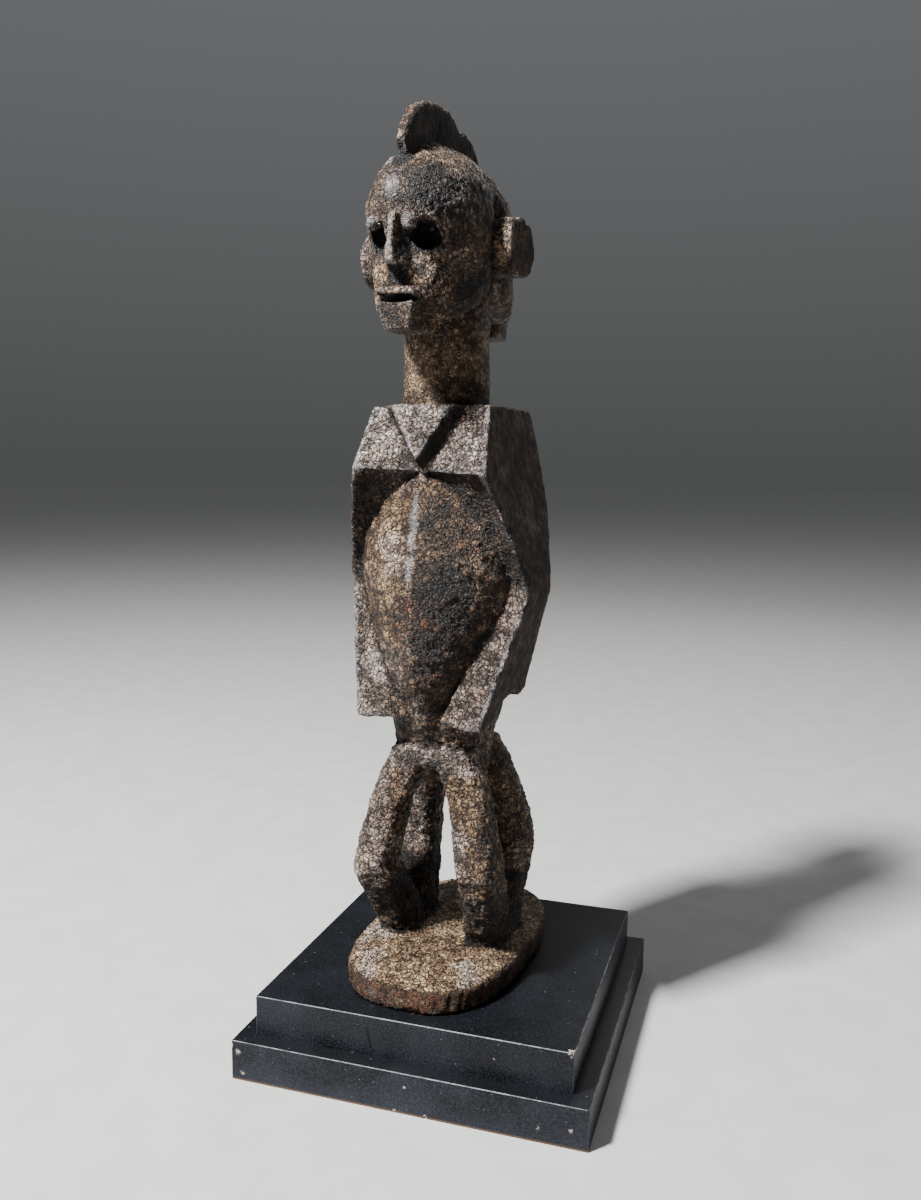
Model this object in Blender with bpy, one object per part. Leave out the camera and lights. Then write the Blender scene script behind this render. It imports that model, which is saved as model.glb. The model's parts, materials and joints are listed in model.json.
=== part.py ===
"""Two-faced standing figure, carved from one block of wood, on a stepped black plinth.

Sizes are in millimetres and become metres in one place, `MM`. The figure is drawn in its own
coordinates: x across the body, y from the front face (-y) to the rear face (+y), z up from the
underside of its base slab. The rear repeats the front's forms with sizes of its own where a pair
of sizes is named. The part's origin is the middle of the plinth's underside.
"""

import math

import bmesh
import bpy
from mathutils import Matrix, Vector

MM = 0.001
GAP = 0.3

# Plinth: two square steps.
LOWER_SIDE = 175.6
LOWER_HEIGHT = 20.0
UPPER_SIDE = 158.0
UPPER_HEIGHT = 19.7
PLINTH_EDGE = 0.8

# Where the figure stands on the plinth, and how it is turned, in degrees.
FIGURE_X = -6.0
FIGURE_Y = -2.0
FIGURE_TURN = -4.63

# How far the carving's middle wanders sideways: height and shift, from the slab to the crest.
BODY_DRIFT = ((0.0, 2.5), (17.0, 2.3), (60.0, 0.0), (100.0, -1.4), (118.0, -2.4), (140.0, -1.0))
HEAD_DRIFT = ((280.0, -2.5), (305.0, -2.6), (345.0, -3.6), (430.0, -5.0))
PANEL_SHIFT = -2.6
# How much lower the arms hang for each millimetre towards +x.
SIDE_DROP = -0.042

# Base slab.
SLAB_HALF_WIDTH = 43.2
SLAB_HALF_DEPTH = 69.0
SLAB_POWER = 2.7
SLAB_RIM = 12.5
SLAB_CROWN = 15.5

# Legs: height, middle across, middle in depth, half width, half depth.
LEG_STATIONS = (
    (8.0, 24.0, 7.0, 10.0, 14.0),
    (16.0, 24.0, 7.5, 10.0, 14.5),
    (30.0, 25.4, 12.5, 10.0, 15.5),
    (45.0, 27.6, 20.0, 10.2, 14.5),
    (56.0, 28.2, 25.5, 10.7, 13.5),
    (70.0, 26.2, 24.5, 10.6, 12.5),
    (88.0, 22.4, 21.0, 10.4, 12.0),
    (104.0, 17.0, 17.5, 10.6, 12.0),
    (116.0, 12.5, 14.5, 10.0, 11.5),
)
KNEE_HEIGHT = 56.0
# How one leg departs from the others, by side and face: knee raised, knee out, thigh in.
LEG_CHARACTER = {
    (-1, -1): (-3.5, 1.2, 2.2),
    (1, -1): (0.0, 0.0, 0.0),
    (-1, 1): (0.0, -1.5, 2.0),
    (1, 1): (3.0, -0.6, 0.0),
}

# Pelvis and waist: height, half width, half depth.
PELVIS_STATIONS = (
    (99.5, 21.0, 19.0),
    (102.5, 23.5, 22.0),
    (108.0, 24.0, 23.0),
    (116.0, 24.0, 23.5),
    (122.0, 25.0, 25.0),
    (134.0, 28.0, 28.0),
    (150.0, 29.0, 24.0),
)
BAR_HEIGHT = 112.0
BAR_RADIUS = 7.0
BAR_DEPTH = 21.0
BAR_HALF_LENGTH = 15.0

# Shoulder block and arms: height, half width, then the depth of the outer edge and of the
# hollow inside it, first to the front and then to the rear.
HAND_SLOPE = 0.16
ARM_STATIONS = (
    (131.5, 33.4, 37.6, 37.6, 29.5, 29.5),
    (136.0, 33.9, 38.0, 38.0, 30.0, 30.0),
    (197.0, 48.3, 16.3, 16.3, 18.0, 18.0),
    (204.0, 47.9, 18.8, 17.0, 20.4, 18.0),
    (228.0, 42.6, 30.6, 25.5, 33.0, 27.0),
    (253.2, 34.7, 42.8, 35.5, 45.7, 38.0),
    (254.3, 34.6, 42.9, 36.5, 45.8, 39.0),
    (286.0, 30.9, 27.2, 25.5, 31.6, 29.5),
)
MIDDLE_HOLLOW = 0.8
ARM_DRIFT = ((131.5, -1.5), (197.0, 0.0))
SHOULDER_TOP = 286.0
PLATE_BOTTOM = 254.3
PLATE_TOP_DEPTH = (27.1, 31.5)
PLATE_BOTTOM_DEPTH = (42.8, 45.7)
PLATE_MIDDLE_TOP = (24.5, 28.5)
PLATE_MIDDLE_BOTTOM = (31.5, 34.5)
PLATE_TOP_WIDTH = 30.8
PLATE_BOTTOM_WIDTH = 34.5
PANEL_TOP_WIDTH = 20.5
PANEL_FACE_WIDTH = 16.0
PANEL_RISE = 6.0

# Recess between the forearms, below the belly's broadest line.
RECESS_DEPTH = 25.0
RECESS_SHIFT = 1.5
RECESS_OUTLINE = ((7.5, 122.0), (8.2, 131.0), (11.5, 139.0), (15.5, 150.0), (17.6, 155.4), (6.0, 163.0))
RECESS_REACH = 60.0
NOTCH_OUTLINE = (
    (-24.0, 118.0), (-21.0, 134.0), (-12.0, 141.5), (10.0, 143.5), (16.5, 141.5), (17.5, 118.0),
)
NOTCH_INNER = 29.0
NOTCH_OUTER = 60.0

# Belly: height, half width, depth of its ridge, depth where it leaves the arms.
BELLY_STATIONS = (
    (112.0, 13.0, 24.0, 18.0),
    (122.0, 12.5, 27.6, 22.0),
    (129.0, 11.5, 30.4, 22.5),
    (137.0, 11.8, 34.5, 22.0),
    (150.0, 16.8, 39.5, 27.0),
    (166.0, 24.4, 43.5, 25.5),
    (182.0, 32.4, 46.0, 19.5),
    (196.0, 38.6, 46.8, 14.5),
    (208.0, 40.0, 45.5, 15.5),
    (220.0, 37.0, 43.0, 19.0),
    (232.0, 31.0, 39.8, 22.0),
    (242.0, 23.0, 36.6, 25.0),
    (249.0, 13.5, 33.5, 26.0),
    (253.0, 6.0, 31.5, 26.0),
)
BELLY_SHIFT = -1.8
BELLY_POWER = 1.5

# Neck.
NECK_RADIUS = 21.3
NECK_BOTTOM = 280.0
NECK_TOP = 352.0

# Head, one face: height, half width, reach forward, where its underside starts, power.
HEAD_STATIONS = (
    (324.5, 15.0, 54.0, 36.0, 2.0),
    (327.5, 19.5, 56.0, 30.0, 2.0),
    (333.0, 23.5, 57.0, 20.0, 2.0),
    (343.0, 26.5, 56.0, 6.0, 2.1),
    (350.0, 27.8, 56.0, 0.0, 2.1),
    (358.0, 28.8, 57.0, 0.0, 2.1),
    (366.0, 29.8, 59.5, 0.0, 2.1),
    (376.0, 30.2, 59.5, 0.0, 2.1),
    (387.0, 28.2, 55.5, 0.0, 2.0),
    (396.0, 23.2, 47.5, 0.0, 1.95),
    (403.0, 16.2, 36.5, 0.0, 1.9),
    (408.0, 9.4, 22.0, 0.0, 1.9),
    (410.0, 4.0, 9.0, 0.0, 1.9),
)
# How much narrower the head is between its two faces, over what depth, and where that fades out.
WAIST_PINCH = 0.17
WAIST_REACH = 17.0
WAIST_FADE = (376.0, 398.0)
REAR_DOME_START = 380.0
REAR_DOME_LOWER = 0.035
REAR_REACH = 0.95
REAR_JAW_REACH = 1.05
REAR_CHIN_RAISE = 8.0
JAW_TOP = 356.0
JAW_FADE = 14.0
CHIN_LIFT_TOP = 350.0
CHIN_LIFT_FADE = 26.0
CHIN_TOP_WIDTH = (9.2, 10.5)
CHIN_BOTTOM_WIDTH = (6.3, 9.5)
CHIN_TOP = 330.0
CHIN_BOTTOM = 317.4
CHIN_REACH = (60.6, 62.6)
CHIN_BACK = 42.0
LIP_WIDTH = 9.8
LIP_TOP = 336.4
LIP_BOTTOM = 332.0
LIP_REACH = 60.4
NOSE_TOP = 368.0
NOSE_BASE = 345.8
NOSE_REACH = 66.6
NOSE_TOP_REACH = 62.0
NOSE_HALF_WIDTH = 7.2
EYE_INNER = 5.2
EYE_OUTER = 17.4
EYE_TOP = 365.6
EYE_BOTTOM = 353.2
EYE_FLOOR = 44.0

# Ears.
EAR_HEIGHTS = (359.6, 362.5)
EAR_DEPTH = 2.5
EAR_RADIUS = 14.3
EAR_INNER = 20.0
EAR_OUTER = (41.6, 39.6)
EAR_TURN = (-5.0, 6.0)

# Crest outline, front to rear: depth and height.
CREST_HALF = 3.2
CREST_RIM_HALF = 2.3
CREST_INSET = 3.0
CREST_MIDDLE = (-2.0, 400.0)
CREST_OUTLINE = (
    (-44.0, 386.0),
    (-48.0, 394.5),
    (-50.6, 399.0),
    (-52.0, 403.0),
    (-49.2, 407.4),
    (-46.8, 411.4),
    (-43.4, 415.0),
    (-38.3, 419.5),
    (-32.5, 422.9),
    (-25.5, 425.2),
    (-18.0, 427.0),
    (-9.0, 428.2),
    (0.0, 428.3),
    (5.5, 426.2),
    (9.5, 424.2),
    (13.5, 422.8),
    (17.0, 424.6),
    (22.0, 424.0),
    (26.5, 423.0),
    (30.5, 421.4),
    (35.0, 418.0),
    (41.0, 411.0),
    (46.0, 402.0),
    (45.0, 386.0),
)


def closed_loft(name, rings):
    """Skins rings of equal length into one closed solid, with a flat face at each end."""
    mesh = bpy.data.meshes.new(name)
    shape = bmesh.new()
    rows = [[shape.verts.new(Vector(point)) for point in ring] for ring in rings]
    count = len(rows[0])
    for low, high in zip(rows, rows[1:]):
        for i in range(count):
            j = (i + 1) % count
            shape.faces.new((low[i], low[j], high[j], high[i]))
    shape.faces.new(list(reversed(rows[0])))
    shape.faces.new(rows[-1])
    bmesh.ops.recalc_face_normals(shape, faces=shape.faces)
    shape.to_mesh(mesh)
    shape.free()
    solid = bpy.data.objects.new(name, mesh)
    bpy.context.scene.collection.objects.link(solid)
    return solid


def rounded(angle, power):
    """Cosine and sine of an angle on a superellipse of the given power."""
    c, s = math.cos(angle), math.sin(angle)
    return (
        math.copysign(abs(c) ** (2 / power), c),
        math.copysign(abs(s) ** (2 / power), s),
    )


def oval(middle, half, height, power, count):
    """A level superellipse ring, counterclockwise seen from above."""
    ring = []
    for i in range(count):
        c, s = rounded(math.tau * i / count, power)
        ring.append((middle[0] + half[0] * c, middle[1] + half[1] * s, height))
    return ring


def arm_ring(station):
    """One level of the shoulder block: flat sides, and a hollow face between its outer edges."""
    height, w, front, front_hollow, rear, rear_hollow = station
    corner = 1.4
    inner = 0.78
    ring = [
        (w, -front + corner),
        (w, rear - corner),
        (w - corner, rear),
        (w * inner, rear_hollow),
        (PANEL_SHIFT, rear_hollow * MIDDLE_HOLLOW),
        (-w * inner, rear_hollow),
        (-w + corner, rear),
        (-w, rear - corner),
        (-w, -front + corner),
        (-w + corner, -front),
        (-w * inner, -front_hollow),
        (PANEL_SHIFT, -front_hollow * MIDDLE_HOLLOW),
        (w * inner, -front_hollow),
        (w - corner, -front),
    ]
    slope = HAND_SLOPE if height < 140.0 else 0.0
    return [(x, y, height + slope * (y + front)) for x, y in ring]


def prism(name, outline, start, end, axis):
    """Extrudes an outline along x (axis 0) or y (axis 1), from start to end."""
    rings = []
    for along in (start, end):
        if axis == 0:
            rings.append([(along, a, b) for a, b in outline])
        else:
            rings.append([(a, along, b) for a, b in outline])
    return closed_loft(name, rings)


def combine(target, tool, operation):
    """Joins or cuts the target with a tool by an exact Boolean, then removes the tool."""
    change = target.modifiers.new("shape", "BOOLEAN")
    change.operation = operation
    change.solver = "EXACT"
    change.object = tool
    change.use_self = True
    with bpy.context.temp_override(object=target, active_object=target):
        bpy.ops.object.modifier_apply(modifier=change.name)
    mesh = tool.data
    bpy.data.objects.remove(tool)
    bpy.data.meshes.remove(mesh)


def leg(side, face):
    """One bent leg, thick and slightly squared, from inside the slab up into the hip."""
    raised, out, thigh_in = LEG_CHARACTER[(side, face)]
    rings = []
    for height, across, depth, half_width, half_depth in LEG_STATIONS:
        bend = max(0.0, 1.0 - abs(height - KNEE_HEIGHT) / 42.0)
        thigh = min(1.0, max(0.0, (height - 70.0) / 30.0))
        across += out * bend - thigh_in * thigh
        height += raised * bend
        middle = (side * across, face * depth)
        rings.append(oval(middle, (half_width, half_depth), height, 2.8, 20))
    return closed_loft("leg", rings)


def bar(face):
    """The raised bar that joins the two thighs of one face, a little thinner at its ends."""
    rings = []
    for across, radius in (
        (-BAR_HALF_LENGTH, BAR_RADIUS - 2.6),
        (-BAR_HALF_LENGTH + 4.0, BAR_RADIUS - 0.4),
        (0.0, BAR_RADIUS),
        (BAR_HALF_LENGTH - 4.0, BAR_RADIUS - 0.4),
        (BAR_HALF_LENGTH, BAR_RADIUS - 2.6),
    ):
        ring = []
        for i in range(14):
            c, s = rounded(math.tau * i / 14, 2.4)
            ring.append((across, face * (BAR_DEPTH + radius * c), BAR_HEIGHT + radius * s))
        rings.append(ring)
    return closed_loft("bar", rings)


def slab():
    """The oval base slab, a little crowned on top, where the feet grow out of it."""
    rings = [
        oval((0, 0), (SLAB_HALF_WIDTH - 1.0, SLAB_HALF_DEPTH - 1.2), 0.0, SLAB_POWER, 56),
        oval((0, 0), (SLAB_HALF_WIDTH, SLAB_HALF_DEPTH), 1.5, SLAB_POWER, 56),
        oval((0, 0), (SLAB_HALF_WIDTH, SLAB_HALF_DEPTH), SLAB_RIM - 1.5, SLAB_POWER, 56),
        oval((0, 0), (SLAB_HALF_WIDTH - 1.4, SLAB_HALF_DEPTH - 1.6), SLAB_RIM, SLAB_POWER, 56),
        oval((0, 0), (SLAB_HALF_WIDTH * 0.78, SLAB_HALF_DEPTH * 0.72), SLAB_CROWN, SLAB_POWER, 56),
    ]
    return closed_loft("slab", rings)


def belly(face):
    """The keeled belly: an upright almond whose middle rises to a soft ridge."""
    rings = []
    for height, half_width, depth, back in BELLY_STATIONS:
        ring = []
        steps = 16
        for i in range(steps + 1):
            c, s = rounded(math.pi * i / steps, BELLY_POWER)
            across = BELLY_SHIFT + half_width * c
            ring.append((across, face * (back + (depth - back) * s), height))
        ring.append((BELLY_SHIFT - half_width, -3.0 * face, height))
        ring.append((BELLY_SHIFT + half_width, -3.0 * face, height))
        rings.append(ring)
    return closed_loft("belly", rings)


def shoulder_plates(face):
    """Two flat plates that fall forward from the shoulder and meet in a shallow hollow."""
    which = 0 if face < 0 else 1
    rings = []
    levels = (
        (SHOULDER_TOP, PLATE_TOP_WIDTH, PLATE_TOP_DEPTH[which], PLATE_MIDDLE_TOP[which]),
        (PLATE_BOTTOM, PLATE_BOTTOM_WIDTH, PLATE_BOTTOM_DEPTH[which], PLATE_MIDDLE_BOTTOM[which]),
    )
    for height, width, depth, middle in levels:
        rings.append([
            (width, 0.0, height),
            (width, face * depth, height),
            (PANEL_SHIFT, face * middle, height),
            (-width, face * depth, height),
            (-width, 0.0, height),
        ])
    return closed_loft("plates", rings)


def raised_panel(face):
    """The raised triangle between the plates, with sloping sides and its point down."""
    which = 0 if face < 0 else 1
    middle = PLATE_MIDDLE_TOP[which]
    slope = (PLATE_MIDDLE_BOTTOM[which] - middle) / (SHOULDER_TOP - PLATE_BOTTOM)
    tip = PLATE_BOTTOM + 1.0
    rings = []
    for width, low, rise in (
        (PANEL_TOP_WIDTH + 5.0, tip - 3.0, -4.0),
        (PANEL_TOP_WIDTH, tip, 2.4),
        (PANEL_FACE_WIDTH, tip + 4.0, PANEL_RISE + 2.4),
    ):
        top = middle + rise
        bottom = middle + (SHOULDER_TOP - low) * slope + rise
        rings.append([
            (PANEL_SHIFT - width, face * top, SHOULDER_TOP),
            (PANEL_SHIFT + width, face * top, SHOULDER_TOP),
            (PANEL_SHIFT, face * bottom, low),
        ])
    return closed_loft("panel", rings)


def head_half(face, chin_raise):
    """Half of the head: dome, cheeks and the jaw that rises to the neck and ears."""
    rings = []
    steps = 22
    for height, half_width, reach, back, power in HEAD_STATIONS:
        if face > 0:
            jaw = min(1.0, max(0.0, (JAW_TOP - height) / JAW_FADE))
            reach *= REAR_REACH + (REAR_JAW_REACH - REAR_REACH) * jaw
        lift = chin_raise * max(0.0, (CHIN_LIFT_TOP - height) / CHIN_LIFT_FADE)
        low, high = WAIST_FADE
        pinch = WAIST_PINCH * min(1.0, max(0.0, (high - height) / (high - low)))
        if face > 0:
            lift -= REAR_DOME_LOWER * max(0.0, height - REAR_DOME_START)
        ring = []
        for i in range(steps + 1):
            c, s = rounded(math.pi * i / steps, power)
            depth = back + (reach - back) * s
            pinched = 1.0 - pinch * max(0.0, 1.0 - depth / WAIST_REACH) ** 2
            ring.append((half_width * c * pinched, face * depth, height + lift))
        behind = back - 4.0
        edge = half_width * (1.0 - pinch * max(0.0, 1.0 - back / WAIST_REACH) ** 2) * 0.97
        ring.append((-edge, face * behind, height + lift))
        ring.append((edge, face * behind, height + lift))
        rings.append(ring)
    return closed_loft("head", rings)


def chin(face, lift):
    """The square chin block, flat below, that stands out under the mouth."""
    which = 0 if face < 0 else 1
    rings = []
    for height, width, reach in (
        (CHIN_BOTTOM, CHIN_BOTTOM_WIDTH[which], CHIN_REACH[which] - 1.6),
        (CHIN_TOP, CHIN_TOP_WIDTH[which], CHIN_REACH[which]),
    ):
        rings.append([
            (width, face * reach, height + lift),
            (width + 2.5, face * CHIN_BACK, height + lift),
            (-width - 2.5, face * CHIN_BACK, height + lift),
            (-width, face * reach, height + lift),
        ])
    return closed_loft("chin", rings)


def lip(face, lift):
    """The upper lip, a bar that stands out over the mouth."""
    rings = []
    for height, grow in ((LIP_BOTTOM, 0.0), (LIP_TOP - 1.2, 0.0), (LIP_TOP, -1.2)):
        rings.append([
            (LIP_WIDTH + grow, face * (LIP_REACH + grow), height + lift),
            (LIP_WIDTH + grow, face * 46.0, height + lift),
            (-LIP_WIDTH - grow, face * 46.0, height + lift),
            (-LIP_WIDTH - grow, face * (LIP_REACH + grow), height + lift),
        ])
    return closed_loft("lip", rings)


def nose(face):
    """The long wedge of the nose, narrow at the brow and cut flat at its base."""
    rings = []
    for height, width, ridge, reach in (
        (NOSE_BASE, NOSE_HALF_WIDTH, 1.5, NOSE_REACH),
        (NOSE_BASE + 3.0, NOSE_HALF_WIDTH - 0.6, 1.2, NOSE_REACH - 0.4),
        (NOSE_TOP, 3.0, 1.0, NOSE_TOP_REACH),
    ):
        rings.append([
            (ridge, face * reach, height),
            (width, face * 54.5, height),
            (width, face * 48.0, height),
            (-width, face * 48.0, height),
            (-width, face * 54.5, height),
            (-ridge, face * reach, height),
        ])
    return closed_loft("nose", rings)


def eye_hollow(side, face):
    """The deep squared hollow of one eye."""
    outline = (
        (EYE_INNER, EYE_BOTTOM + 4.5),
        (EYE_INNER + 3.5, EYE_BOTTOM + 0.6),
        (EYE_OUTER - 3.0, EYE_BOTTOM),
        (EYE_OUTER, EYE_BOTTOM + 4.0),
        (EYE_OUTER - 1.6, EYE_TOP),
        (EYE_INNER + 1.6, EYE_TOP),
    )
    points = [(side * x, z) for x, z in outline]
    floor = face * EYE_FLOOR
    return prism("eye", points, floor, face * 80.0, 1)


def ear(side):
    """A thick upright disc that stands out from the side of the head."""
    rings = []
    which = 0 if side < 0 else 1
    outer = EAR_OUTER[which]
    for across, radius in (
        (EAR_INNER, EAR_RADIUS - 1.0),
        (outer - 1.2, EAR_RADIUS),
        (outer, EAR_RADIUS - 1.2),
    ):
        ring = []
        for i in range(20):
            c, s = rounded(math.tau * i / 20, 2.3)
            turned = across + radius * c * math.sin(math.radians(EAR_TURN[which]))
            ring.append((side * turned, EAR_DEPTH + radius * c, EAR_HEIGHTS[which] + radius * s))
        rings.append(ring)
    return closed_loft("ear", rings)


def crest():
    """The upright fore-and-aft crest, a little thinner along its rim."""
    middle = Vector(CREST_MIDDLE)
    rings = []
    for across, inset in (
        (-CREST_HALF, CREST_INSET), (-CREST_RIM_HALF, 0.0), (CREST_RIM_HALF, 0.0),
        (CREST_HALF, CREST_INSET),
    ):
        ring = []
        for y, z in CREST_OUTLINE:
            point = Vector((y, z))
            inward = (middle - point).normalized() * inset
            ring.append((across, y + inward.x, z + inward.y))
        rings.append(ring)
    return closed_loft("crest", rings)


def flank_notch(side):
    """Cutter that lifts the arms' lower edge between the front hand and the rear hand."""
    return prism("notch", list(NOTCH_OUTLINE), side * NOTCH_INNER, side * NOTCH_OUTER, 0)


def recess(face):
    """Cutter that hollows the arms' front, so that the belly stands free between them."""
    right = [(RECESS_SHIFT + x, z) for x, z in RECESS_OUTLINE]
    left = [(RECESS_SHIFT - x, z) for x, z in reversed(RECESS_OUTLINE)]
    return prism("recess", right + left, face * RECESS_DEPTH, face * RECESS_REACH, 1)


def drift(solid, stations):
    """Shifts a form sideways by the carving's drift at each height."""
    for vertex in solid.data.vertices:
        height = vertex.co.z
        shift = stations[0][1] if height < stations[0][0] else stations[-1][1]
        for (low, start), (high, end) in zip(stations, stations[1:]):
            if low <= height <= high:
                shift = start + (end - start) * (height - low) / (high - low)
        vertex.co.x += shift


def drop_one_side(solid):
    """Lets the arms hang a little lower on the side of +x, less and less up to the shoulder."""
    for vertex in solid.data.vertices:
        fade = min(1.0, max(0.0, (SHOULDER_TOP - vertex.co.z) / (SHOULDER_TOP - PLATE_BOTTOM)))
        vertex.co.z += SIDE_DROP * vertex.co.x * fade


def build_figure():
    """Joins all the carved forms into the one solid of the figure."""
    figure = slab()
    figure.name = "figure"
    for vertex in figure.data.vertices:
        vertex.co.x += BODY_DRIFT[0][1]
    legs = closed_loft("pelvis", [
        oval((0, 0), (width, depth), height, 2.6, 28) for height, width, depth in PELVIS_STATIONS
    ])
    for face in (-1, 1):
        for side in (-1, 1):
            combine(legs, leg(side, face), "UNION")
        combine(legs, bar(face), "UNION")
    drift(legs, BODY_DRIFT)
    combine(figure, legs, "UNION")

    torso = closed_loft("torso", [arm_ring(station) for station in ARM_STATIONS])
    for side in (-1, 1):
        combine(torso, recess(side), "DIFFERENCE")
        combine(torso, flank_notch(side), "DIFFERENCE")
    for face in (-1, 1):
        combine(torso, shoulder_plates(face), "UNION")
        combine(torso, raised_panel(face), "UNION")
    bellies = belly(-1)
    combine(bellies, belly(1), "UNION")
    combine(torso, bellies, "UNION")
    drift(torso, ARM_DRIFT)
    drop_one_side(torso)
    combine(figure, torso, "UNION")

    head = closed_loft("neck", [
        oval((0, 0), (NECK_RADIUS, NECK_RADIUS), height, 2.1, 28) for height in (NECK_BOTTOM, NECK_TOP)
    ])
    for face, lift in ((-1, 0.0), (1, REAR_CHIN_RAISE)):
        combine(head, head_half(face, lift), "UNION")
    for face, lift in ((-1, 0.0), (1, REAR_CHIN_RAISE)):
        combine(head, chin(face, lift), "UNION")
        combine(head, lip(face, lift), "UNION")
        for side in (-1, 1):
            combine(head, eye_hollow(side, face), "DIFFERENCE")
        combine(head, nose(face), "UNION")
    for side in (-1, 1):
        combine(head, ear(side), "UNION")
    combine(head, crest(), "UNION")
    drift(head, HEAD_DRIFT)
    combine(figure, head, "UNION")
    for vertex in figure.data.vertices:
        vertex.co *= MM
    place = Vector((FIGURE_X, FIGURE_Y, LOWER_HEIGHT + UPPER_HEIGHT + GAP)) * MM
    turn = Matrix.Rotation(math.radians(FIGURE_TURN), 4, "Z")
    figure.matrix_world = Matrix.Translation(place) @ turn
    return figure


def build_plinth():
    """The square plinth: a lower step and a narrower upper step, their edges just broken."""
    def square(side, height):
        h = side / 2
        c = PLINTH_EDGE
        return [
            (h, -h + c, height), (h, h - c, height), (h - c, h, height), (-h + c, h, height),
            (-h, h - c, height), (-h, -h + c, height), (-h + c, -h, height), (h - c, -h, height),
        ]
    step = LOWER_HEIGHT
    top = LOWER_HEIGHT + UPPER_HEIGHT
    plinth = closed_loft("plinth", [
        square(LOWER_SIDE, 0.0),
        square(LOWER_SIDE, step - PLINTH_EDGE),
        square(LOWER_SIDE - 2 * PLINTH_EDGE, step),
        square(UPPER_SIDE, step),
        square(UPPER_SIDE, top - PLINTH_EDGE),
        square(UPPER_SIDE - 2 * PLINTH_EDGE, top),
    ])
    for vertex in plinth.data.vertices:
        vertex.co *= MM
    return plinth


def give_material(thing, name, colour, roughness):
    """Puts one Principled material on an object."""
    material = bpy.data.materials.new(name)
    material.use_nodes = True
    shader = material.node_tree.nodes["Principled BSDF"]
    shader.inputs["Base Color"].default_value = (*colour, 1.0)
    shader.inputs["Roughness"].default_value = roughness
    shader.inputs["Metallic"].default_value = 0.0
    thing.data.materials.clear()
    thing.data.materials.append(material)


def tidy(thing):
    """Merges doubled points, dissolves flat seams and shades the round forms smooth."""
    shape = bmesh.new()
    shape.from_mesh(thing.data)
    bmesh.ops.remove_doubles(shape, verts=shape.verts, dist=0.00005)
    bmesh.ops.dissolve_limit(
        shape, angle_limit=math.radians(0.6), verts=shape.verts, edges=shape.edges
    )
    bmesh.ops.triangulate(shape, faces=shape.faces)
    bmesh.ops.recalc_face_normals(shape, faces=shape.faces)
    shape.to_mesh(thing.data)
    shape.free()
    thing.data.shade_smooth()
    thing.data.set_sharp_from_angle(angle=math.radians(35))


for old in list(bpy.data.objects):
    bpy.data.objects.remove(old)

wooden_figure = build_figure()
black_plinth = build_plinth()
tidy(wooden_figure)
tidy(black_plinth)
give_material(wooden_figure, "crusted dark wood", (0.035, 0.022, 0.015), 0.62)
give_material(black_plinth, "black painted wood", (0.012, 0.013, 0.016), 0.45)
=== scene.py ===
"""Looks of a two-faced carved figure on a black stepped plinth.

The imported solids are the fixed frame. The figure's own mesh is refined from its solid and gets the
cracked crust, the grain, the tool marks and the polished ridges of an old hand-carved piece; the
plinth gets its worn paint. Lengths are in millimetres until they reach Blender.
"""
from __future__ import annotations

import json
import logging
import math
from dataclasses import dataclass, field
from enum import Enum
from functools import partial

import bmesh
import bpy
import numpy as np
from mathutils import Matrix, Vector, noise

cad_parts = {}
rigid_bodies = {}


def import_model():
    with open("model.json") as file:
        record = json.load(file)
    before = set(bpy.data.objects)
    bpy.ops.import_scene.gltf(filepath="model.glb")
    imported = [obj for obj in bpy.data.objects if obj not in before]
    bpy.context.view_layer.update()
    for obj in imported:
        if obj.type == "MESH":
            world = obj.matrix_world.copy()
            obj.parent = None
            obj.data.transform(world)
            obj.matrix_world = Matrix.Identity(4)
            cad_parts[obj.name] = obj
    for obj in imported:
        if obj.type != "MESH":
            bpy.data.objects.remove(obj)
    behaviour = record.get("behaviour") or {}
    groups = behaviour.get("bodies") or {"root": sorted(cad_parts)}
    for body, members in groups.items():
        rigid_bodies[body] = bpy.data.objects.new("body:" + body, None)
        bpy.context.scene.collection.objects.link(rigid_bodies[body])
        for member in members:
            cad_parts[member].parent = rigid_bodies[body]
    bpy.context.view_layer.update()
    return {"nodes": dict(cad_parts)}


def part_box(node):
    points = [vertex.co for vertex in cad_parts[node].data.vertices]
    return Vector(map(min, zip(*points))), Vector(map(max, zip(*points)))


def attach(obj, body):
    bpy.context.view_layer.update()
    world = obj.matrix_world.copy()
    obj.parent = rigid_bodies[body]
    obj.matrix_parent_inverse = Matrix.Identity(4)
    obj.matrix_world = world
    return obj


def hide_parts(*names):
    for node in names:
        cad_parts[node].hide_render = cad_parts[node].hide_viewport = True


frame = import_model()

MM = 0.001
log = logging.getLogger("janus")

Socket = bpy.types.NodeSocket
Colour = tuple[float, float, float, float]
Stops = tuple[tuple[float, str], ...]

# A span is two lengths, a place is x, y and z, and a ball is a place and a radius.
Span = tuple[float, float]
Place = tuple[float, float, float]
Ball = tuple[float, float, float, float]


class Zone(Enum):
    """The kinds of surface, each stored as one attribute of the mesh."""

    TONE = "tone"
    ASH = "ash"
    RUBBED_AND_HIGHLIT = "rubbed_and_highlit"
    RUST = "rust"
    GRAIN = "grain"
    CRUST = "crust"


class Area(Enum):
    """The areas of the carving whose surface differs, found by place and by where they face."""

    CREST_RIM = "rim of the crest"
    MOUTH = "slot between the lips"
    NECK = "neck"
    PLATE = "shoulder plate"
    PLATE_WALL = "side wall of the raised panel on a plate"
    HOLLOW = "hollow under a plate"
    ARM = "front or rear of an arm"
    SLAB_EDGE = "edge of the base slab"
    GRAINED = "wherever the wood's grain shows"
    WORN_HIGHLIT_EDGE = "edge that hands have worn"


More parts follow.
